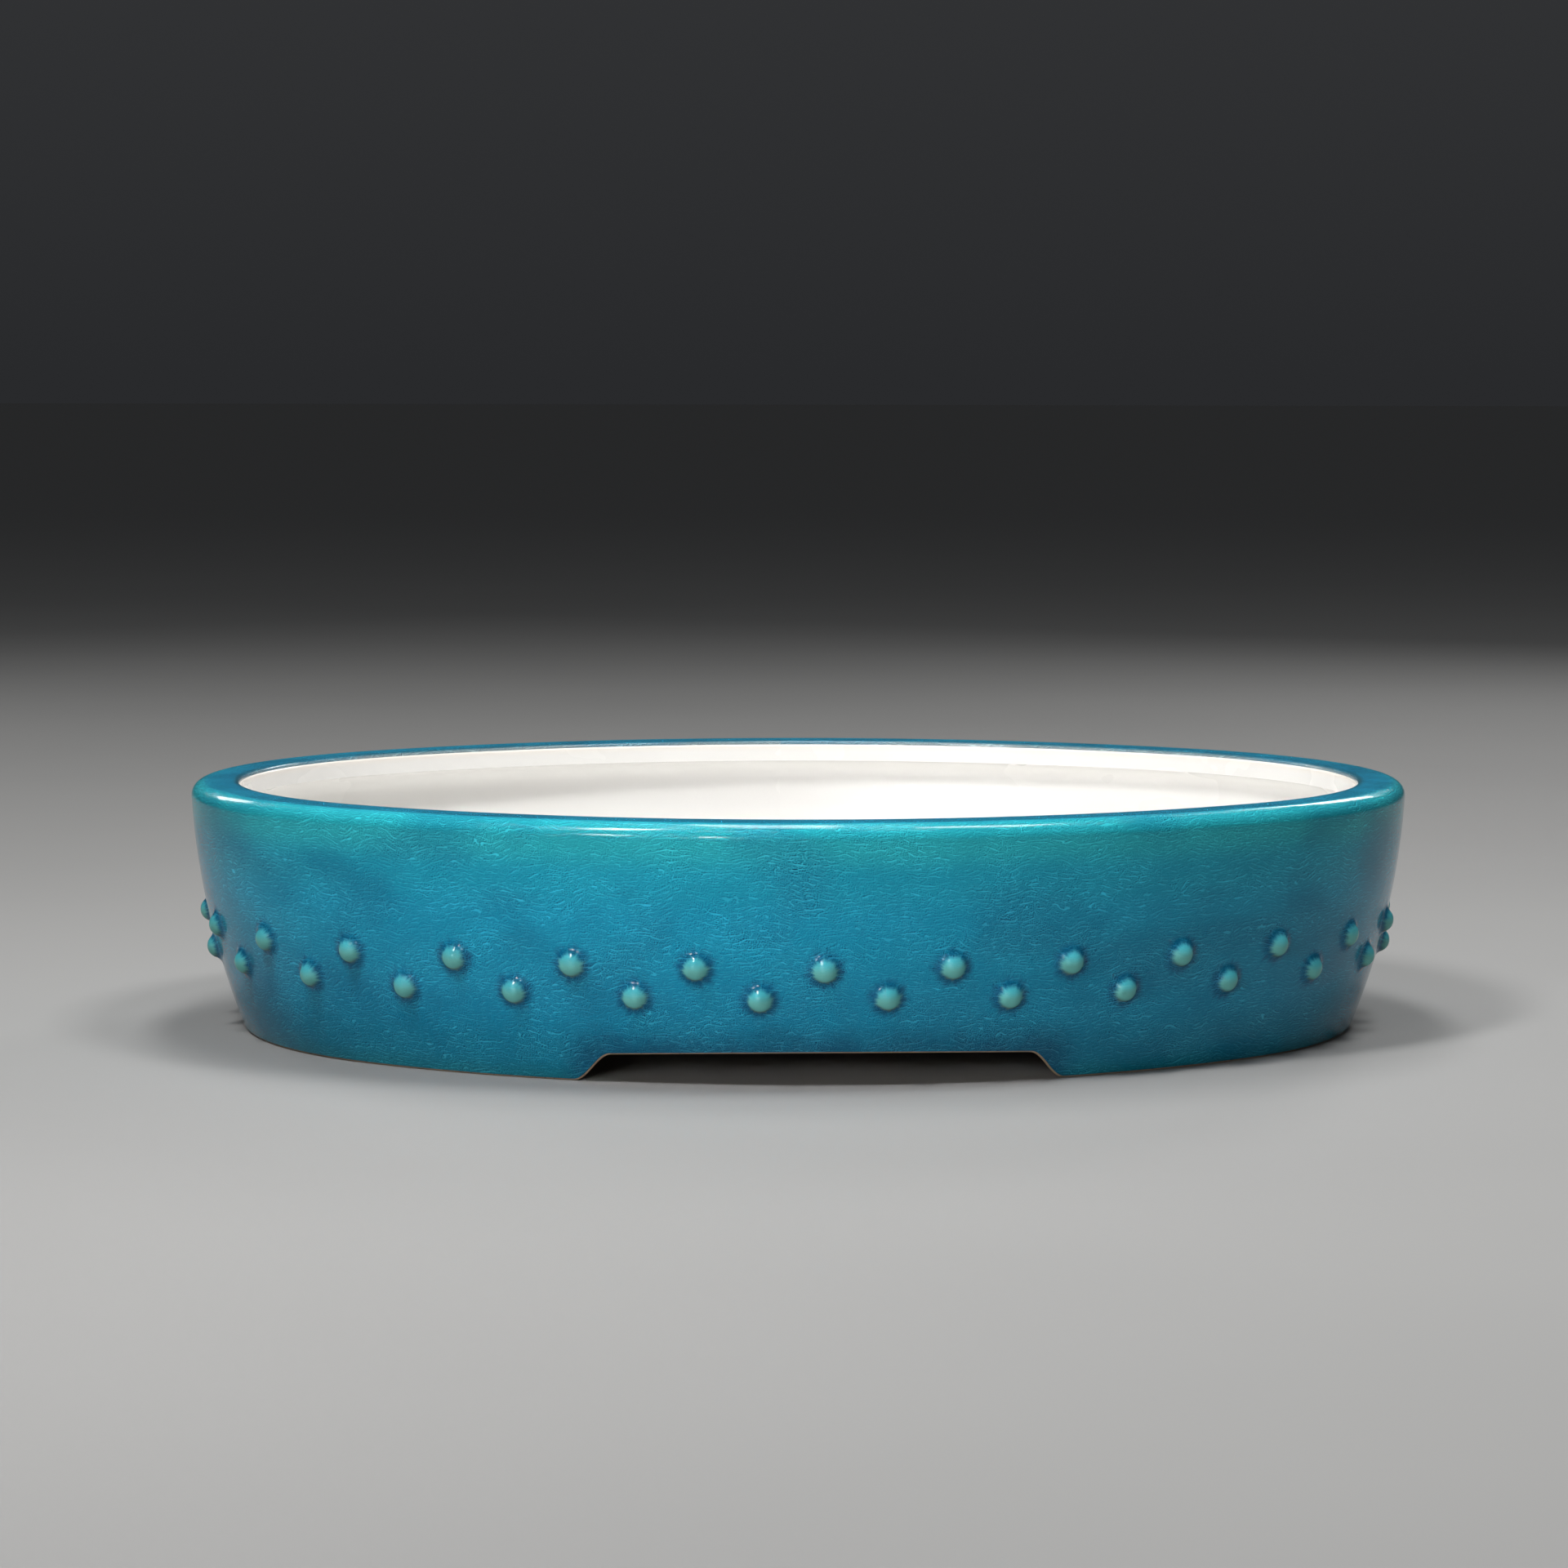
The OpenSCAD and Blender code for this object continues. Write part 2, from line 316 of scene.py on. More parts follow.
def strip_top(x):
    """Height of the glaze's lower edge, a clay strip above and beside the notch."""
    inner = NOTCH_HALF - NOTCH_END
    beside = np.maximum(np.abs(x) - CLAY_STRIP, inner)
    return roof(np.where(np.abs(x) > inner, beside, x)) + CLAY_STRIP


def foot_points(marks, rings):
    """Points of the foot for each column and ring.

    A ring is (inset or None for the outside, cut, level): cut is added to the outside's inset, and
    level runs from 0 at the foot's underside, past 1 at the glaze's edge, to 2 at the foot's top.
    """
    places = np.empty((len(marks), len(rings), 3))
    for k, (inset, cut, level) in enumerate(rings):
        height = np.full(len(marks), 5.0)
        for _ in range(6):
            at = skin(height) + cut if inset is None else np.full(len(marks), inset + cut)
            x = spot(marks, at, height)[:, 0]
            low, mid = roof(x), strip_top(x)
            if level <= 1:
                height = low + (mid - low) * level
            else:
                height = mid + (FOOT_HEIGHT - mid) * (level - 1)
        places[:, k] = spot(marks, at, height)
    return places


def foot_columns():
    """Columns for the foot, closer together at the ends of both notches."""
    low, high, step = 60.0, 94.0, 0.6
    spans = [(low, high, step), (-high, -low, step)]
    spans += [(GIRTH / 2 - high, GIRTH / 2 - low, step), (low - GIRTH / 2, high - GIRTH / 2, step)]
    return columns(spans)


def foot_sweep(name, rings, shown, rows):
    """A sweep through the rings that foot_points describes."""
    marks = foot_columns()
    points = foot_points(marks, rings)
    steps = np.linalg.norm(np.diff(points, axis=1, append=points[:, :1]), axis=2)
    along = np.cumsum(np.concatenate([np.zeros((len(marks), 1)), steps], 1), 1)
    first = climb(points[:, 0, 2])[:, None]
    return sweep(name, marks, points, along + first, shown, rows)


def build_foot_ring():
    """Glazed foot: outside from the glaze's rolled lower edge up, then top, inside and underside."""
    turns = np.radians(np.linspace(0, 90, 5))
    roll = [(None, GLAZE_LIP * (1 - math.sin(a)), 1 + 0.05 * (1 - math.cos(a))) for a in turns]
    outside = roll + [(None, 0.0, level) for level in np.linspace(1.1, 2, 11)]
    top = [(FOOT_INNER, 0.0, 2.0)]
    inside = [(FOOT_INNER, 0.0, level) for level in (1.75, 1.5, 1.25, 1.0)]
    under = [(inset, 0.0, 1.0) for inset in np.linspace(FOOT_INNER, FOOT_OUTER, 9)[1:]]
    return foot_sweep("foot_ring_glazed", outside + top + inside + under, len(outside) - 1, 4)


def build_foot_edge():
    """Bare clay along the table edge and round the notches, with softly rounded arrises."""
    turns = np.radians(np.linspace(0, 90, 6))
    outer = [(None, GLAZE_LIP, 1.0)]
    outer += [(None, GLAZE_LIP + CLAY_ROUND * (1 - math.cos(a)), CLAY_ROUND * (1 - math.sin(a)))
              for a in turns]
    under = [(inset, 0.0, 0.0) for inset in np.linspace(FOOT_OUTER, FOOT_INNER - CLAY_ROUND, 9)]
    inner = [(FOOT_INNER - CLAY_ROUND, CLAY_ROUND * math.sin(a), CLAY_ROUND * (1 - math.cos(a)))
             for a in turns[1:]]
    rings = outer + under + inner + [(FOOT_INNER, 0.0, 1.0)]
    return foot_sweep("foot_edge_clay", rings, len(rings) - 1, 4)


def build_inside():
    """White glaze: lip face, wall, cove and floor as one skin, closed behind and round the holes."""
    marks = columns()
    count = len(marks)
    top = POT_HEIGHT - LIP_INNER_ROUND
    rim = [(LIP_WIDTH, top), (LIP_WIDTH + 0.45, top - 0.06), (LIP_WIDTH + 0.7, top - 0.3)]
    face = [(LIP_WIDTH + GLAZE, h) for h in np.linspace(top - 0.8, LIP_UNDER - GLAZE, 5)]
    front = rim + face + inner_side(GLAZE, LIP_UNDER - GLAZE)[1:]
    back = [(LIP_WIDTH, LIP_UNDER)] + inner_side(0.0, LIP_UNDER)[1:]
    points, faces, surface = [], [], []

    def strip(section, first, low):
        """Rings of points down a section, joined to ring first if it is given."""
        rings = [] if first is None else [first]
        for inset, height in section:
            rings.append(len(points))
            points.extend(spot(marks, np.full(count, inset), height))
        lengths = [low]
        for a, b in zip(rings, rings[1:]):
            lengths.append(lengths[-1] + math.dist(points[a], points[b]))
        for a, b, va, vb in zip(rings, rings[1:], lengths, lengths[1:]):
            for c in range(count):
                n = (c + 1) % count
                u0, u1 = marks[c], marks[n] if n else GIRTH / 2
                faces.append((a + c, a + n, b + n, b + c))
                surface.extend([(u0, va), (u1, va), (u1, vb), (u0, vb)])
        return rings

    front_rings = strip(front, None, 0.0)
    back_rings = strip(back, front_rings[0], 0.0)

    hole_steps = 48
    turns = np.arange(hole_steps) * 2 * math.pi / hole_steps
    rounding = [(GLAZE_HOLE + GLAZE * (1 - math.sin(a)), FLOOR_TOP + GLAZE * math.cos(a))
                for a in np.radians(np.linspace(0, 90, 6))]

    def floor(boundary, hole_rings):
        """Fills the floor inside a boundary ring, leaving the two drain holes."""
        edge = list(range(boundary, boundary + count))
        loops = [edge] + hole_rings
        index = [i for loop in loops for i in loop]
        flat = [Vector(points[i][:2]) for i in index]
        edges, at = [], 0
        for loop in loops:
            edges += [(at + k, at + (k + 1) % len(loop)) for k in range(len(loop))]
            at += len(loop)
        tris = delaunay_2d_cdt(flat, edges, [], 1, 1e-5)[2]
        holes = [Vector((side * DRAIN_OFFSET, 0)) for side in (-1, 1)]
        for tri in tris:
            middle = sum((flat[k] for k in tri), Vector((0, 0))) / 3
            if all((middle - hole).length > GLAZE_HOLE for hole in holes):
                faces.append(tuple(index[k] for k in tri))
                surface.extend([tuple(flat[k]) for k in tri])

    tops, bottoms = [], []
    for side in (-1, 1):
        loops = []
        for radius, height in rounding:
            loops.append(len(points))
            points.extend(
                (side * DRAIN_OFFSET + radius * math.cos(a), radius * math.sin(a), height) for a in turns)
        for a, b in zip(loops, loops[1:]):
            for k in range(hole_steps):
                n = (k + 1) % hole_steps
                faces.append((a + k, b + k, b + n, a + n))
                surface.extend([tuple(points[i][:2]) for i in (a + k, b + k, b + n, a + n)])
        tops.append(list(range(loops[0], loops[0] + hole_steps)))
        bottoms.append(list(range(loops[-1], loops[-1] + hole_steps)))
    floor(front_rings[-1], tops)
    floor(back_rings[-1], bottoms)
    return make_mesh("inside_glaze_white", points, faces, [("surface", surface)])


def even_normals(piece):
    """Makes every face of a closed piece look outwards."""
    mesh = bmesh.new()
    mesh.from_mesh(piece.data)
    bmesh.ops.recalc_face_normals(mesh, faces=mesh.faces)
    mesh.to_mesh(piece.data)
    mesh.free()


def boss_profile():
    """(distance from the boss's axis, height over the wall) from the top of the dome outwards."""
    reach = math.sqrt((BOSS_RADIUS + BOSS_FILLET) ** 2 - (BOSS_FILLET + BOSS_SINK) ** 2)
    slope = math.atan2(reach, BOSS_FILLET + BOSS_SINK)
    dome = [(BOSS_RADIUS * math.sin(a), BOSS_RADIUS * math.cos(a) - BOSS_SINK)
            for a in np.linspace(0, slope, 13)[1:]]
    fillet = [(reach - BOSS_FILLET * math.sin(a), BOSS_FILLET - BOSS_FILLET * math.cos(a))
              for a in np.linspace(slope, 0, 9)[1:]]
    return dome + fillet


def build_bosses(name, height, first):
    """One row of domes, each blended into the wall by a fillet and closed behind."""
    profile = boss_profile()
    lift, skirt, tuck, sunk, back = 0.02, 0.5, 0.2, -0.4, -0.6
    profile += [(profile[-1][0] + skirt, 0.0), (profile[-1][0] + skirt + tuck, sunk)]
    dome_steps = 36
    turns = np.arange(dome_steps) * 2 * math.pi / dome_steps
    rng = np.random.default_rng(int(height))
    points, faces, surface, bake, relief = [], [], [], [], []
    cell = 1 / SQUARES

    def corner(i, centre, k):
        """Adds one face corner's place round the pot, and its place in the baked picture."""
        u, v = local[i]
        surface.append((centre[0] + u, centre[1] + v))
        across = k % SQUARES + 0.5 + u / SQUARE_COVERS
        up = k // SQUARES + 0.5 + v / SQUARE_COVERS
        bake.append((across * cell, up * cell))

    for k in range(BOSS_COUNT):
        centre = ((k + first - BOSS_COUNT / 2) * BOSS_SPACING, float(climb(height)))
        swell = 1 + 0.03 * rng.standard_normal()
        drift = 0.25 * rng.standard_normal(2)
        base = len(points)
        local = [(0.0, 0.0)]
        rises = [BOSS_RADIUS - BOSS_SINK]
        for radius, rise in profile:
            local += [(radius * math.cos(a), radius * math.sin(a)) for a in turns]
            rises += [rise] * len(turns)
        local.append((0.0, 0.0))
        rises.append(back)
        flat = np.array(local)
        rise = np.array(rises) * swell
        s = centre[0] + drift[0] + flat[:, 0]
        z = height_at(centre[1] + drift[1] + flat[:, 1])
        lean = np.arcsin((WALL_CURVE_HEIGHT - z) / WALL_CURVE)
        _, _, out = plan(s)
        normal = np.concatenate([out * np.cos(lean)[:, None], -np.sin(lean)[:, None]], 1)
        points.extend(spot(s, skin(z), z) + normal * (rise + lift)[:, None])
        relief.extend(np.clip(np.array(rises) / (BOSS_RADIUS - BOSS_SINK), 0, 1))
        n = len(turns)
        for j in range(n):
            i = (j + 1) % n
            rings = [[0, 1 + j, 1 + i]]
            for ring in range(len(profile) - 1):
                a, b = 1 + ring * n, 1 + (ring + 1) * n
                rings.append([a + j, b + j, b + i, a + i])
            last = 1 + (len(profile) - 1) * n
            rings.append([last + j, len(local) - 1, last + i])
            for loop in rings:
                faces.append([base + v for v in loop])
                for v in loop:
                    corner(v, centre, k)
    piece = make_mesh(name, points, faces, [("surface", surface), ("OFBake", bake)], sharp=60)
    piece.data.attributes.new("relief", "FLOAT", "POINT").data.foreach_set("value", np.array(relief))
    return piece


class Paint:
    """A material under construction, with short names for the nodes that this pot needs."""

    def __init__(self, name):
        self.material = bpy.data.materials.new(name)
        self.material.use_nodes = True
        self.tree = self.material.node_tree
        self.shader = self.tree.nodes["Principled BSDF"]

    def node(self, kind, inputs=(), **settings):
        made = self.tree.nodes.new("ShaderNode" + kind)
        for key, value in settings.items():
            setattr(made, key, value)
        for key, value in dict(inputs).items():
            self.feed(made.inputs[key], value)
        return made

    def feed(self, socket, value):
        if isinstance(value, bpy.types.NodeSocket):
            self.tree.links.new(value, socket)
        elif value is not None:
            socket.default_value = value

    def math(self, operation, a, b=None, c=None):
        return self.node("Math", {0: a, 1: b, 2: c}, operation=operation).outputs[0]

    def fade(self, value, start, end, low=0.0, high=1.0):
        """A soft step of value from low at start to high at end."""
        inputs = {"Value": value, "From Min": start, "From Max": end, "To Min": low, "To Max": high}
        return self.node("MapRange", inputs, interpolation_type="SMOOTHSTEP").outputs["Result"]

    def mix(self, factor, a, b, blend="MIX"):
        made = self.node("Mix", data_type="RGBA", blend_type=blend)
        self.feed(made.inputs[0], factor)
        self.feed(made.inputs[6], a)
        self.feed(made.inputs[7], b)
        return made.outputs[2]

    def surface(self):
        """(u, v) in millimetres: distance round the pot and along its section."""
        layer = self.node("UVMap", uv_map="surface").outputs[0]
        parts = self.node("SeparateXYZ", {0: layer})
        return layer, parts.outputs[0], parts.outputs[1]

    def stretch(self, vector, x, y):
        """vector divided by a cell's width and height."""
        made = self.node("VectorMath", {0: vector, 1: (1 / x, 1 / y, 1)}, operation="MULTIPLY")
        return made.outputs[0]

    def noise(self, vector, scale=1.0, detail=2.0, rough=0.5, dimensions="2D"):
        inputs = {"Vector": vector, "Scale": scale, "Detail": detail, "Roughness": rough}
        return self.node("TexNoise", inputs, noise_dimensions=dimensions)

    def warp(self, vector, cell, amount):
        """vector pushed about by noise whose features are cell millimetres across."""
        push = self.noise(vector, 1 / cell, 1.0).outputs["Color"]
        centred = self.node("VectorMath", {0: push, 1: (0.5, 0.5, 0.5)}, operation="SUBTRACT")
        scaled = self.node("VectorMath", {0: centred.outputs[0], "Scale": amount}, operation="SCALE")
        return self.node("VectorMath", {0: vector, 1: scaled.outputs[0]}, operation="ADD").outputs[0]

    def cracks(self, vector, width, height, line_width):
        """1 on the lines of a net of cells that are width by height millimetres, 0 between them."""
        cells = self.stretch(vector, width, height)
        settings = {"feature": "DISTANCE_TO_EDGE", "voronoi_dimensions": "2D"}
        net = self.node("TexVoronoi", {"Vector": cells}, **settings)
        return self.fade(net.outputs["Distance"], line_width / height, 0.0)

    def ripples(self, vector, period, length, unrest):
        """1 on the crests of wandering bands that are a period apart, 0 between them.

        The wandering is drawn out length times along the bands, and grows with unrest.
        """
        squeezed = self.stretch(vector, length, 1)
        inputs = {"Vector": squeezed, "Scale": math.pi / 10 / period, "Distortion": unrest, "Detail": 1.0}
        bands = self.node("TexWave", inputs, bands_direction="Y")
        bands.inputs["Detail Scale"].default_value = 1.6
        return self.fade(bands.outputs["Fac"], 0.83, 1.0)

    def ramp(self, value, stops):
        """Colour that runs smoothly through (value, colour) stops."""
        low, high = stops[0][0], stops[-1][0]
        place = self.node("MapRange", {"Value": value, "From Min": low, "From Max": high})
        made = self.node("ValToRGB", {"Fac": place.outputs["Result"]})
        made.color_ramp.interpolation = "EASE"
        elements = made.color_ramp.elements
        while len(elements) > 1:
            elements.remove(elements[-1])
        elements[0].position = 0.0
        elements[0].color = (*stops[0][1], 1)
        for value_at, colour in stops[1:]:
            elements.new((value_at - low) / (high - low)).color = (*colour, 1)
        return made.outputs["Color"]

    def bump(self, height, distance, strength, normal=None):
        inputs = {"Height": height, "Distance": distance * MM, "Strength": strength, "Normal": normal}
        return self.node("Bump", inputs).outputs[0]


def turquoise_glaze():
    """Crackled turquoise glaze: deep where it pools, pale where it runs thin over an edge."""
    paint = Paint("turquoise_crackle_glaze")
    layer, u, v = paint.surface()
    wide = paint.noise(paint.stretch(layer, 46, 30), detail=2.0).outputs["Fac"]
    small = paint.noise(paint.stretch(layer, 11, 8), detail=3.0).outputs["Fac"]

    def from_row(phase, height):
        """Place in millimetres from the nearest boss of one row, and the distance to it."""
        turns = paint.math("ADD", paint.math("DIVIDE", u, BOSS_SPACING), phase)
        part = paint.math("SUBTRACT", paint.math("FRACT", turns), 0.5)
        across = paint.math("MULTIPLY", part, BOSS_SPACING)
        up = paint.math("SUBTRACT", v, float(climb(height)))
        place = paint.node("CombineXYZ", {0: across, 1: up}).outputs[0]
        return place, paint.node("VectorMath", {0: place}, operation="LENGTH").outputs["Value"]

    upper, upper_distance = from_row(0.5, UPPER_ROW)
    lower, lower_distance = from_row(0.0, LOWER_ROW)
    nearest = paint.math("MINIMUM", upper_distance, lower_distance)
    by_lower = paint.math("LESS_THAN", lower_distance, upper_distance)
    from_boss = paint.mix(by_lower, upper, lower)
    up_boss = paint.node("SeparateXYZ", {0: from_boss}).outputs[1]

    # Runs of glaze that spread like rays from each boss.
    ray = paint.node("VectorMath", {0: from_boss}, operation="NORMALIZE").outputs[0]
    ray = paint.node("VectorMath", {0: ray, "Scale": 3.4}, operation="SCALE").outputs[0]
    ray = paint.node("VectorMath", {0: ray, 1: paint.stretch(layer, 40, 40)}, operation="ADD").outputs[0]
    rays = paint.math("SUBTRACT", paint.noise(ray, 1.0, 2.0, 0.6).outputs["Fac"], 0.5)

    body = paint.ramp(v, [
        (0.0, (0.002, 0.140, 0.200)),
        (9.0, (0.001, 0.155, 0.260)),
        (26.0, (0.001, 0.195, 0.335)),
        (56.0, (0.001, 0.240, 0.390)),
        (71.0, (0.002, 0.255, 0.375)),
        (82.0, (0.012, 0.320, 0.380)),
        (89.0, (0.014, 0.310, 0.375)),
        (94.0, (0.001, 0.210, 0.350)),
        (101.0, (0.001, 0.195, 0.345)),
        # Painted shade: a dark line at the lip's inner round, standing in for the shade and dark
        # reflection on that edge.
        (103.2, (0.008, 0.070, 0.110)),
        (104.4, (0.200, 0.240, 0.260)),
    ])
    deep = paint.mix(paint.fade(wide, 0.44, 0.70, 0.0, 0.42), body, (0.0, 0.115, 0.215, 1))
    ragged = paint.math("ADD", nearest, paint.math("MULTIPLY", rays, 3.6))
    pool = paint.fade(ragged, 7.8, 4.4, 0.0, 0.8)
    pooled = paint.mix(pool, deep, (0.0, 0.060, 0.150, 1))

    # Darker glaze gathered over the notches.
    place = paint.node("NewGeometry").outputs["Position"]
    xyz = paint.node("SeparateXYZ", {0: place}).outputs
    beside = paint.fade(paint.math("ABSOLUTE", xyz[0]), 0.088, 0.074)
    ragged_height = paint.math("ADD", xyz[2], paint.math("MULTIPLY", small, 0.008))
    above = paint.fade(ragged_height, 0.026, 0.013, 0.0, 0.85)
    pooled = paint.mix(paint.math("MULTIPLY", beside, above), pooled, (0.0, 0.055, 0.125, 1))

    def crackle(shift):
        """Lines of the crackle, their net moved by shift millimetres so that it can shade itself."""
        moved = paint.node("VectorMath", {0: layer, 1: (*shift, 0)}, operation="ADD").outputs[0]
        wavy = paint.warp(moved, 22, 9.0)
        flow = paint.ripples(wavy, 1.4, 2.2, 7.0)
        broken = paint.fade(paint.noise(paint.stretch(wavy, 3.0, 2.0)).outputs["Fac"], 0.42, 0.56)
        net = paint.cracks(paint.warp(wavy, 2.6, 1.8), 2.6, 1.9, 0.42)
        long_lines = paint.cracks(wavy, 24.0, 6.5, 0.30)
        flowing = paint.math("MULTIPLY", flow, broken)
        both = paint.math("MAXIMUM", flowing, paint.math("MULTIPLY", net, 0.90))
        return paint.math("MAXIMUM", both, paint.math("MULTIPLY", long_lines, 0.8))

    # Each line is pale, partly the crackle's own milky colour and partly a painted glint, with a painted
    # shade beside it: a second copy of the net, shifted a little, darkens the glaze as if each line were
    # embossed.
    patch = paint.fade(paint.noise(paint.stretch(layer, 26, 15)).outputs["Fac"], 0.30, 0.66, 0.55, 1.0)
    lines = paint.math("MULTIPLY", paint.fade(crackle((0, 0)), 0.42, 0.72), patch)
    shade = paint.math("MULTIPLY", paint.fade(crackle((0.28, -0.42)), 0.34, 0.66), patch)
    # Pale line colour: the crackle's milky white with a painted glint added.
    milky_line_and_glint = paint.mix(1.0, pooled, (1.7, 1.7, 1.6, 1), "MULTIPLY")
    milky_line_and_glint = paint.mix(1.0, milky_line_and_glint, (0.022, 0.090, 0.100, 1), "ADD")
    # Painted shade beside each line.
    painted_line_shade = paint.mix(1.0, pooled, (0.2, 0.34, 0.42, 1), "MULTIPLY")
    crazed = paint.mix(lines, paint.mix(shade, pooled, painted_line_shade), milky_line_and_glint)

    # Celadon where the glaze runs thin over a dome. Under the dome the colour turns browner, partly the
    # clay showing through thin glaze and partly painted shade.
    relief = paint.node("Attribute", attribute_name="relief").outputs["Fac"]
    thin = paint.math("ADD", relief, paint.math("MULTIPLY", rays, 0.5))
    dome = paint.fade(thin, 0.14, 0.62)
    upper_tone, lower_tone = (0.050, 0.400, 0.480, 1), (0.125, 0.430, 0.390, 1)
    celadon = paint.mix(paint.fade(up_boss, 3.6, -0.6), upper_tone, lower_tone)
    celadon = paint.mix(paint.math("MULTIPLY", lines, 0.18), celadon, (0.24, 0.60, 0.56, 1))
    # Painted shade, with the clay showing through, under each dome.
    under = paint.math("MULTIPLY", paint.fade(up_boss, -1.0, -3.6), paint.fade(relief, 0.95, 0.35))
    celadon = paint.mix(paint.math("MULTIPLY", under, 0.85), celadon, (0.095, 0.125, 0.090, 1))
    colour = paint.mix(dome, crazed, celadon)

    waves = paint.noise(paint.stretch(layer, 16, 12), detail=1.0).outputs["Fac"]
    normal = paint.bump(waves, 0.35, 0.35)
    normal = paint.bump(lines, 0.012, 0.5, normal)
    paint.feed(paint.shader.inputs["Base Color"], colour)
    paint.feed(paint.shader.inputs["Roughness"], paint.fade(small, 0.2, 0.8, 0.05, 0.10))
    paint.shader.inputs["IOR"].default_value = 1.5
    paint.shader.inputs["Specular IOR Level"].default_value = 0.26
    paint.feed(paint.shader.inputs["Normal"], normal)
    return paint.material


def white_glaze():
    """Glossy warm white glaze, a little creamier where it thins at the rim."""
    paint = Paint("warm_white_glaze")
    layer = paint.surface()[0]
    cloud = paint.noise(paint.stretch(layer, 60, 40), detail=3.0).outputs["Fac"]
    white = paint.mix(cloud, (0.85, 0.84, 0.815, 1), (0.82, 0.805, 0.78, 1))
    wavy = paint.warp(paint.warp(layer, 22, 8.0), 3.2, 1.2)
    lines = paint.cracks(wavy, 7.0, 6.0, 0.22)
    white = paint.mix(paint.math("MULTIPLY", lines, 0.08), white, (0.62, 0.60, 0.56, 1))
    place = paint.node("NewGeometry").outputs["Position"]
    height = paint.node("SeparateXYZ", {0: place}).outputs[2]
    white = paint.mix(paint.fade(height, 0.0825, 0.0856, 0.0, 0.4), white, (0.80, 0.70, 0.58, 1))
    waves = paint.noise(paint.stretch(layer, 22, 18), detail=1.0).outputs["Fac"]
    paint.feed(paint.shader.inputs["Base Color"], white)
    paint.feed(paint.shader.inputs["Roughness"], paint.fade(cloud, 0.2, 0.8, 0.22, 0.30))
    paint.shader.inputs["IOR"].default_value = 1.5
    paint.shader.inputs["Specular IOR Level"].default_value = 0.32
    paint.feed(paint.shader.inputs["Normal"], paint.bump(waves, 0.3, 0.35))
    return paint.material


def bare_clay(name, light, dark):
    """Fired stoneware: fine sandy grain with darker iron specks."""
    paint = Paint(name)
    place = paint.node("TexCoord").outputs["Object"]
    grain = paint.noise(place, 1400, 6.0, 0.65, "3D").outputs["Fac"]
    cloud = paint.noise(place, 60, 3.0, 0.5, "3D").outputs["Fac"]
    specks = paint.node("TexVoronoi", {"Vector": place, "Scale": 420.0}).outputs["Distance"]
    clay = paint.mix(paint.math("MULTIPLY", paint.math("ADD", grain, cloud), 0.5), dark, light)
    clay = paint.mix(paint.fade(specks, 0.22, 0.12, 0.0, 0.7), clay, (0.09, 0.06, 0.045, 1))
    paint.feed(paint.shader.inputs["Base Color"], clay)
    paint.feed(paint.shader.inputs["Roughness"], paint.fade(grain, 0.2, 0.8, 0.72, 0.9))
    paint.feed(paint.shader.inputs["Normal"], paint.bump(grain, 0.12, 0.7))
    return paint.material


def dress(piece, material, slot, *nodes):
    """Gives a piece its material, rides it on the pot and lets it stand for CAD nodes."""
    piece.data.materials.clear()
    piece.data.materials.append(material)
    if nodes:
        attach(piece, "root")
        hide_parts(*nodes)


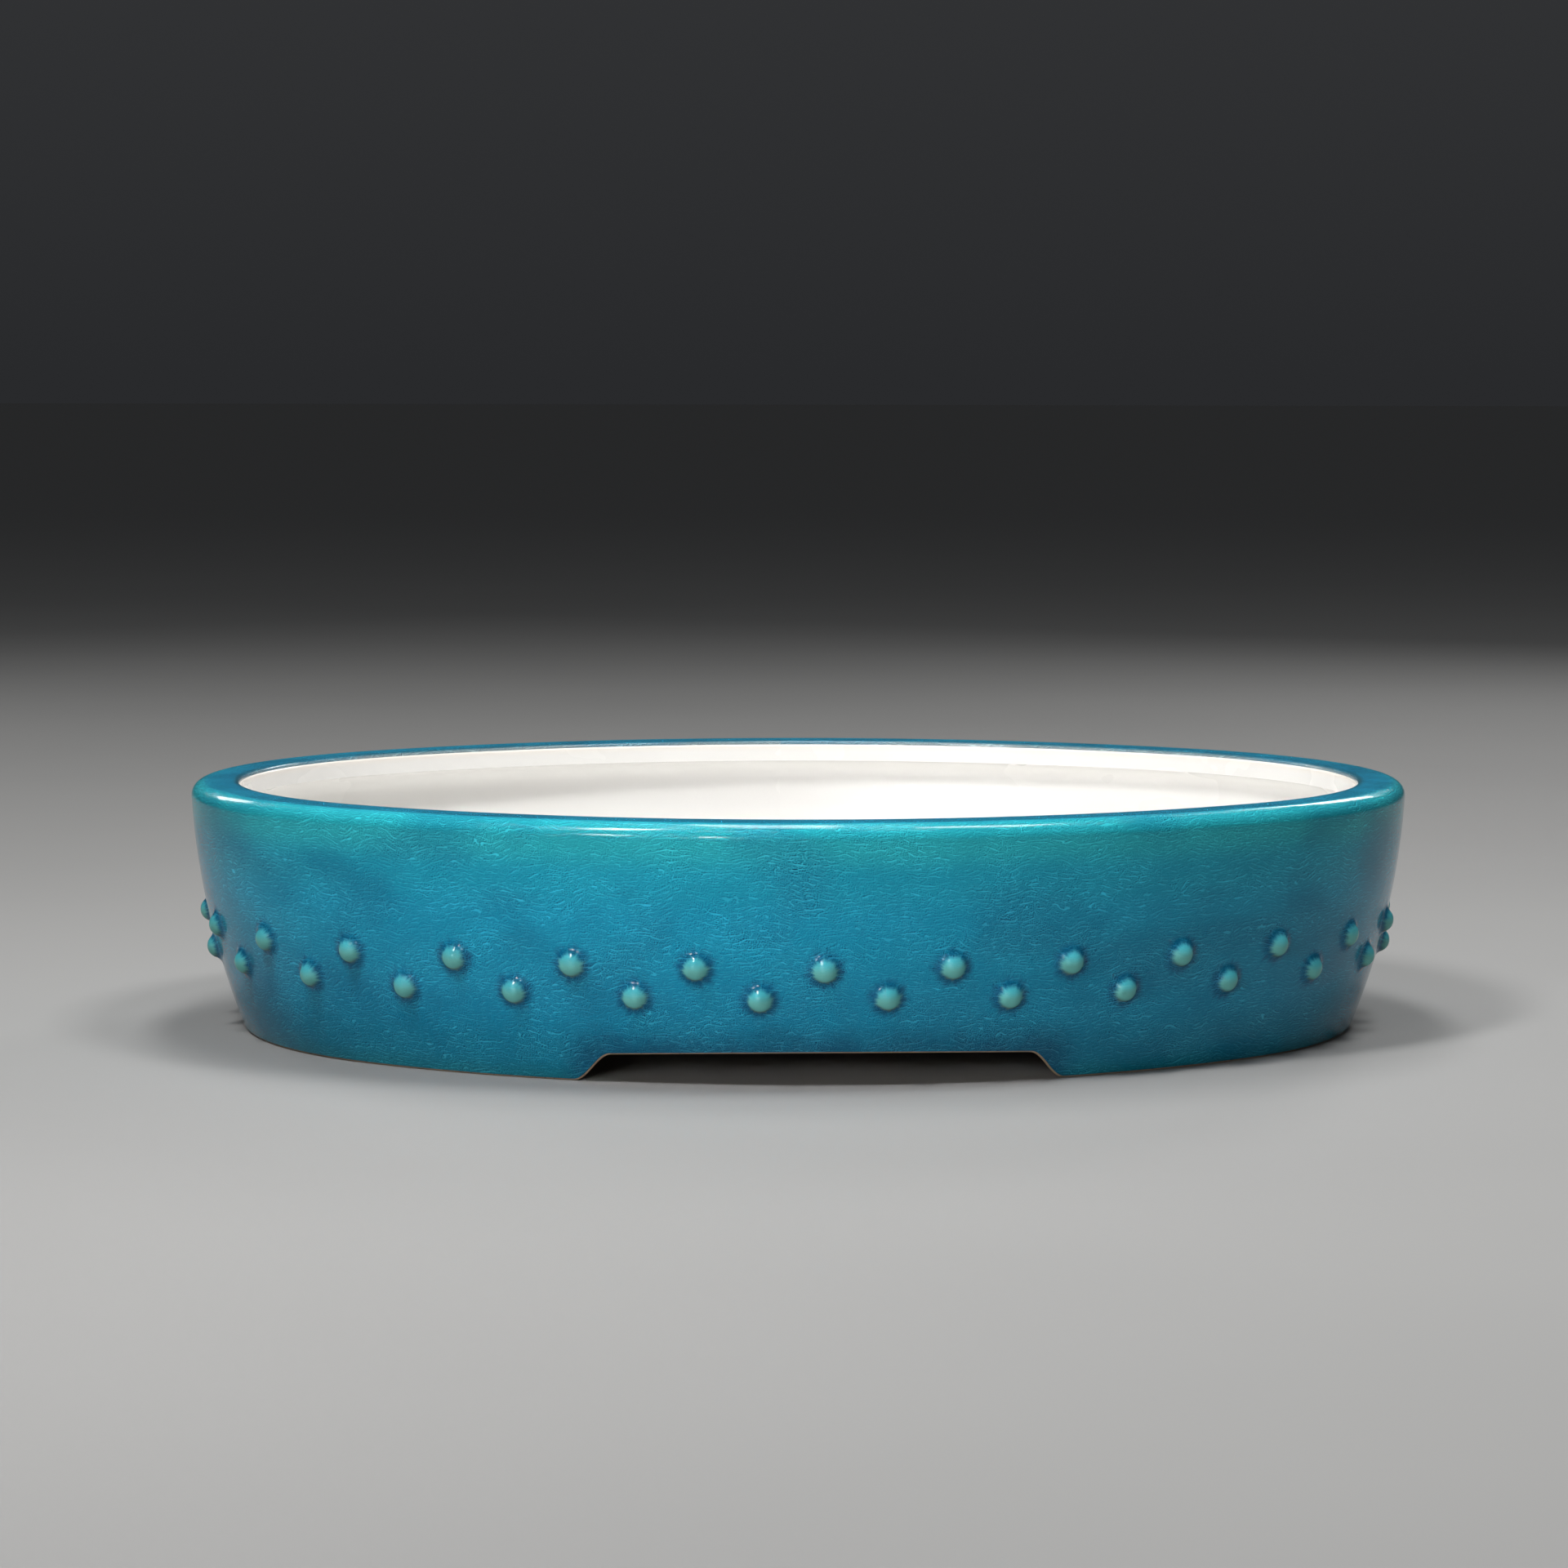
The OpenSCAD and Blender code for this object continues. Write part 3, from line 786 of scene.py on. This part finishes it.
def build_stage():
    """Pale floor, painted darker away from the middle as a painted fall-off of light, with soft studio
    lights and a dim grey surround.
    """
    paint = Paint("studio_floor")
    place = paint.node("TexCoord").outputs["Object"]
    tone = paint.noise(place, 3, 4.0, 0.5, "3D").outputs["Fac"]
    away = paint.node("VectorMath", {0: place}, operation="LENGTH").outputs["Value"]
    near = paint.mix(tone, (0.30, 0.297, 0.291, 1), (0.33, 0.326, 0.320, 1))
    # Painted fall-off of light: the floor darkens away from the middle into the surround.
    painted_falloff_floor = paint.mix(paint.fade(away, 0.8, 6.0), near, (0.20, 0.20, 0.20, 1))
    paint.feed(paint.shader.inputs["Base Color"], painted_falloff_floor)
    paint.shader.inputs["Roughness"].default_value = 0.75
    paint.shader.inputs["Specular IOR Level"].default_value = 0.2
    size = 40.0
    mesh = bpy.data.meshes.new("floor")
    square = [(-size, -size, 0), (size, -size, 0), (size, size, 0), (-size, size, 0)]
    mesh.from_pydata(square, [], [(0, 1, 2, 3)])
    mesh.materials.append(paint.material)
    floor = bpy.data.objects.new("floor", mesh)
    bpy.context.scene.collection.objects.link(floor)

    world = bpy.data.worlds.new("studio")
    world.use_nodes = True
    nodes, links = world.node_tree.nodes, world.node_tree.links
    sky = nodes.new("ShaderNodeTexCoord")
    parts = nodes.new("ShaderNodeSeparateXYZ")
    rise = nodes.new("ShaderNodeValToRGB")
    links.new(sky.outputs["Generated"], parts.inputs[0])
    links.new(parts.outputs[2], rise.inputs[0])
    links.new(rise.outputs[0], nodes["Background"].inputs[0])
    rise.color_ramp.elements[0].color = (0.022, 0.023, 0.025, 1)
    rise.color_ramp.elements[1].color = (0.11, 0.113, 0.116, 1)
    bpy.context.scene.world = world

    def softbox(name, turn, rise_angle, distance, width, height, watts, spread=180):
        """A rectangular light, turned and raised in degrees, that looks at the middle of the front."""
        aim = Vector((-0.02, -0.15, 0.05))
        turn, rise_angle = math.radians(turn), math.radians(rise_angle)
        flat = math.cos(rise_angle)
        way = Vector((math.sin(turn) * flat, -math.cos(turn) * flat, math.sin(rise_angle)))
        light = bpy.data.lights.new(name, "AREA")
        light.shape = "RECTANGLE"
        light.size, light.size_y, light.energy = width, height, watts
        light.spread = math.radians(spread)
        box = bpy.data.objects.new(name, light)
        box.location = aim + way * distance
        box.rotation_euler = (-way).to_track_quat("-Z", "Y").to_euler()
        box.visible_camera = False
        bpy.context.scene.collection.objects.link(box)

    softbox("overhead", 180, 77, 1.18, 0.2, 0.77, 7)
    softbox("key", -44, 58, 1.2, 0.16, 0.30, 9.5)
    softbox("front_left", -31, 14, 1.7, 0.26, 0.36, 0.10, 16)
    softbox("front", -14, 13, 1.7, 0.12, 0.40, 0.055, 16)
    softbox("side_right", 84, 70, 1.3, 0.3, 0.3, 6.5)
    softbox("back_right", 152, 26, 2.1, 0.4, 0.4, 6)
    softbox("back_left", -145, 24, 2.1, 0.4, 0.4, 4)


def build_camera():
    """The camera: long lens, five and a half degrees above the rim, a little to the left."""
    target = Vector((0, 0, POT_HEIGHT * MM))
    distance = 1.4553
    pitch, yaw, roll = math.radians(5.507), math.radians(-2.982), math.radians(0.12)
    away = Vector((math.sin(yaw) * math.cos(pitch), -math.cos(yaw) * math.cos(pitch), math.sin(pitch)))
    aim_right, aim_down = math.atan(0.00386), math.atan(0.00198)
    forward = Matrix.Rotation(aim_right, 3, "Z") @ -away
    right = Matrix.Rotation(aim_right, 3, "Z") @ (-away).cross(Vector((0, 0, 1))).normalized()
    forward = Matrix.Rotation(-aim_down, 3, right) @ forward
    up = right.cross(forward)
    turned_right = right * math.cos(roll) + up * math.sin(roll)
    turned_up = up * math.cos(roll) - right * math.sin(roll)
    lens = bpy.data.cameras.new("camera")
    lens.sensor_width, lens.lens, lens.clip_start, lens.clip_end = 36.0, 93.75, 0.01, 100.0
    camera = bpy.data.objects.new("camera", lens)
    turn = Matrix((turned_right, turned_up, -forward)).transposed()
    camera.matrix_world = Matrix.Translation(target + away * distance) @ turn.to_4x4()
    bpy.context.scene.collection.objects.link(camera)
    bpy.context.scene.camera = camera


turquoise = turquoise_glaze()
white = white_glaze()
clay = bare_clay("bare_clay", (0.40, 0.30, 0.20, 1), (0.22, 0.155, 0.10, 1))
floor_clay = bare_clay("floor_clay", (0.46, 0.34, 0.25, 1), (0.28, 0.20, 0.15, 1))

dress(build_wall(), turquoise, "turquoise_glaze", "wall")
dress(build_lip(), turquoise, "lip_glaze", "lip")
dress(build_foot_ring(), turquoise, "turquoise_glaze", "foot_ring")
dress(build_foot_edge(), clay, "bare_clay", "foot_edge")
dress(build_bosses("upper_bosses_domed", UPPER_ROW, 0.0), turquoise, "boss_glaze", "upper_bosses")
dress(build_bosses("lower_bosses_domed", LOWER_ROW, 0.5), turquoise, "boss_glaze", "lower_bosses")
inside = build_inside()
even_normals(inside)
dress(inside, white, "white_glaze", "inside_glaze")
dress(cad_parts["floor_slab"], floor_clay, None)
dress(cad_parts["corner_coil"], floor_clay, None)

build_stage()
build_camera()
bpy.context.scene.view_settings.view_transform = "Standard"
